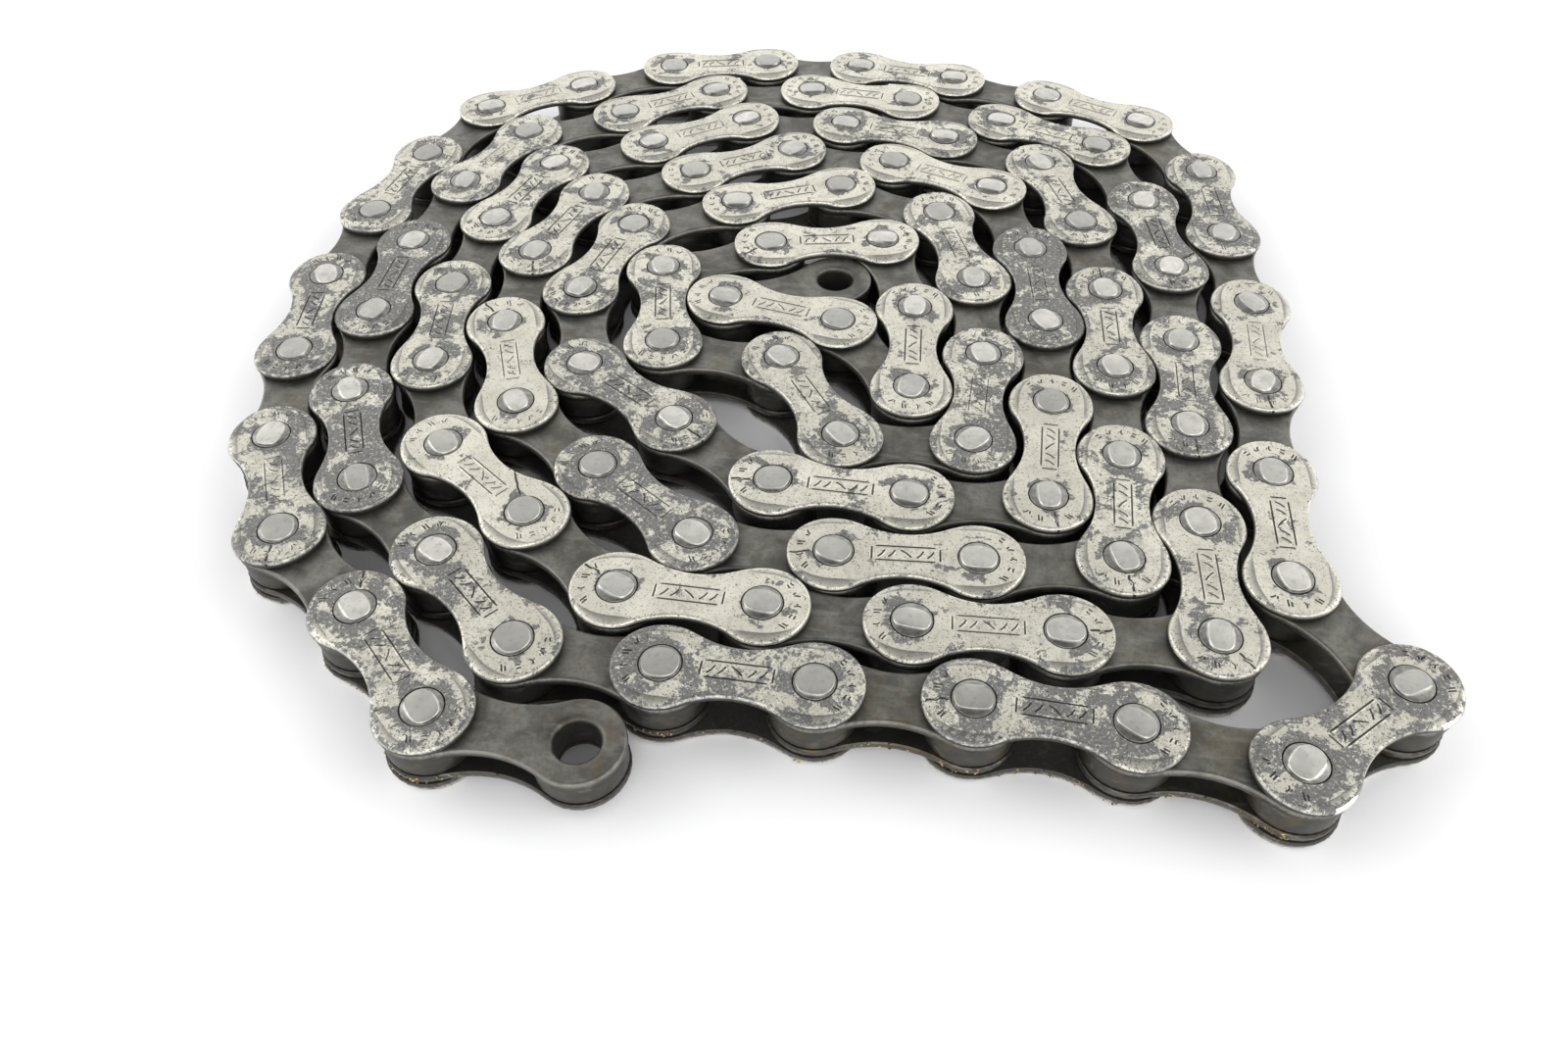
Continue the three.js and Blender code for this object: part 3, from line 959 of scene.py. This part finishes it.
class CHAIN_OT_inner_links(bpy.types.Operator):
    """Makes every inner link: two plates with drawn mouths, and a roller round each pin"""

    bl_idname = "chain.inner_links"
    bl_label = "Inner links"

    def execute(self, context):
        bore = context.scene.chain_sizes.inner_bore / MM
        material = bare_steel(context.scene.chain_looks)
        pins, headings = lay_out()
        upper = plate(INNER, bore, fine=True)
        lower = flipped(plate(INNER, bore, fine=False))
        roller = marked(roller_solid(), edge=2.0)
        # a ring round each outer plate's end is darkened as grimy steel and as painted shade beside the outer plate,
        # and a ring round each mouth as grimy steel
        for solid in (lower, upper):
            x, y, _ = solid["points"].T
            away = pin_distance(x, y)
            mouths = np.clip((2.7 - away) / 0.7, 0, 1)
            solid["ring"] = np.maximum(np.clip((4.9 - away) / 0.9, 0, 1) * (away > 3.0), mouths)
        for link in range(1, (len(BENDS) + 2) // 2 + 1):
            first = 2 * link - 2
            pin, heading = pins[first], headings[first]
            shown = upper
            if link == 1 or node_of(link) == "end_link":
                # an open end is darkened round its mouth only, as grimy steel
                open_half = (upper["points"][:, 0] < PITCH / 2) == (link == 1)
                shown = {**upper, "ring": np.where(open_half, mouths, upper["ring"])}
            solids = [
                placed(shown, pin, heading, UPPER_INNER),
                placed(lower, pin, heading, LOWER_INNER),
                placed(roller, pin, heading, 0.0),
                placed(roller, pins[first + 1], heading, 0.0),
            ]
            if link in GRITTY:
                side = math.radians(GRITTY[link]) - heading
                grit = grains(200 + link, 160, 0.1, 0.8, INNER, 0.14, side)
                solids.append(placed(grit, pin, heading, LOWER_INNER))
            whole = marked(joined(solids), rusted=link in RUSTED)
            make_piece(f"inner_link_{link:02d}", whole, material, [node_of(link)])
        return {"FINISHED"}


# brightness of the sky at heights from the floor's level, 0, to straight overhead, 1
SKY_FLOOR, SKY_TOP = 1.0, 0.05
SKY_SHARES = ((0.45, 0.95), (0.62, 0.7), (0.76, 0.6), (0.88, 0.4), (0.97, 0.06))
# large soft lamps, in metres: name, place and share of the key's power
LAMP_WIDTH = 0.6
LAMPS = (("left", (-0.75, 0.05, 0.4), 1.0), ("right", (0.75, 0.05, 0.4), 1.0), ("front", (0.1, -0.75, 0.35), 0.8))
# the camera: metres, radians, and millimetres of lens and sensor
CAMERA_PLACE = (0.012713, -0.100372, 0.08675)
AZIMUTH, ELEVATION, ROLL = math.radians(9.0863), 0.844, 0.0118
LENS, SENSOR = 27.63, 36.0
TABLE_HALF = 1.5


class CHAIN_OT_stage(bpy.types.Operator):
    """Lays a pale table, hangs the soft lights and sets the camera"""

    bl_idname = "chain.stage"
    bl_label = "Stage"

    def execute(self, context):
        scene, stage = context.scene, context.scene.chain_stage
        corners = [(TABLE_HALF * x, TABLE_HALF * y, 0) for x, y in ((-1, -1), (1, -1), (1, 1), (-1, 1))]
        table = bpy.data.meshes.new("table")
        table.from_pydata(corners, [], [(0, 1, 2, 3)])
        table.materials.append(pale_table(stage))
        floor = bpy.data.objects.new("table", table)
        scene.collection.objects.link(floor)

        world = bpy.data.worlds.new("soft room")
        world.use_nodes = True
        tree = world.node_tree
        coordinates = tree.nodes.new("ShaderNodeTexCoord")
        split = tree.nodes.new("ShaderNodeSeparateXYZ")
        ramp = tree.nodes.new("ShaderNodeValToRGB")
        ramp.color_ramp.interpolation = "EASE"
        ramp.color_ramp.elements[0].color = (SKY_FLOOR, SKY_FLOOR, SKY_FLOOR, 1)
        for height, share in SKY_SHARES:
            ramp.color_ramp.elements.new(height).color = (share, share, share, 1)
        ramp.color_ramp.elements[-1].color = (SKY_TOP, SKY_TOP, SKY_TOP, 1)
        tree.links.new(coordinates.outputs["Generated"], split.inputs[0])
        tree.links.new(split.outputs["Z"], ramp.inputs["Fac"])
        tree.links.new(ramp.outputs["Color"], tree.nodes["Background"].inputs["Color"])
        tree.nodes["Background"].inputs["Strength"].default_value = stage.sky
        scene.world = world
        scene.view_settings.view_transform = "Standard"

        for name, spot, share in LAMPS:
            light = bpy.data.lights.new(name, "AREA")
            light.shape = "SQUARE"
            light.size = LAMP_WIDTH
            light.energy = stage.key * share
            lamp = bpy.data.objects.new(name, light)
            scene.collection.objects.link(lamp)
            towards = -np.array(spot) / np.linalg.norm(spot)
            lamp.matrix_world = aimed(spot, towards)

        camera = bpy.data.cameras.new("camera")
        camera.lens = LENS
        camera.sensor_width = SENSOR
        camera.clip_start = 0.001
        camera.clip_end = 20.0
        eye = bpy.data.objects.new("camera", camera)
        scene.collection.objects.link(eye)
        level = math.cos(ELEVATION)
        towards = (-math.sin(AZIMUTH) * level, math.cos(AZIMUTH) * level, -math.sin(ELEVATION))
        eye.matrix_world = aimed(CAMERA_PLACE, towards, ROLL)
        scene.camera = eye
        return {"FINISHED"}


def aimed(place, towards, roll=0.0):
    """The placement of a lamp or camera at place that looks along towards, its right side level before roll."""
    towards = np.array(towards, float)
    right = np.cross(towards, (0.0, 0.0, 1.0))
    right /= np.linalg.norm(right)
    up = np.cross(right, towards)
    x = math.cos(roll) * right - math.sin(roll) * up
    y = math.sin(roll) * right + math.cos(roll) * up
    columns = np.stack([x, y, -towards, np.array(place, float)], axis=1)
    return Matrix([*columns.tolist(), [0.0, 0.0, 0.0, 1.0]])


class CHAIN_PT_panel(bpy.types.Panel):
    """Lists the operators that build the chain"""

    bl_idname = "CHAIN_PT_panel"
    bl_label = "Roller Chain"
    bl_space_type = "VIEW_3D"
    bl_region_type = "UI"
    bl_category = "Chain"

    def draw(self, context):
        for operator in OPERATORS:
            self.layout.operator(operator.bl_idname)
        for group in ("chain_sizes", "chain_looks", "chain_stage"):
            settings = getattr(context.scene, group)
            for name in settings.__annotations__:
                self.layout.prop(settings, name)


OPERATORS = (CHAIN_OT_outer_plates, CHAIN_OT_pins, CHAIN_OT_inner_links, CHAIN_OT_stage)
CLASSES = (ChainSizes, ChainLooks, ChainStage, *OPERATORS, CHAIN_PT_panel)


def register():
    for item in CLASSES:
        bpy.utils.register_class(item)
    bpy.types.Scene.chain_sizes = bpy.props.PointerProperty(type=ChainSizes)
    bpy.types.Scene.chain_looks = bpy.props.PointerProperty(type=ChainLooks)
    bpy.types.Scene.chain_stage = bpy.props.PointerProperty(type=ChainStage)


def unregister():
    del bpy.types.Scene.chain_stage, bpy.types.Scene.chain_looks, bpy.types.Scene.chain_sizes
    for item in reversed(CLASSES):
        bpy.utils.unregister_class(item)


def main():
    register()
    bpy.ops.chain.stage()
    bpy.ops.chain.outer_plates()
    bpy.ops.chain.pins()
    bpy.ops.chain.inner_links()


if __name__ == "__main__":
    main()
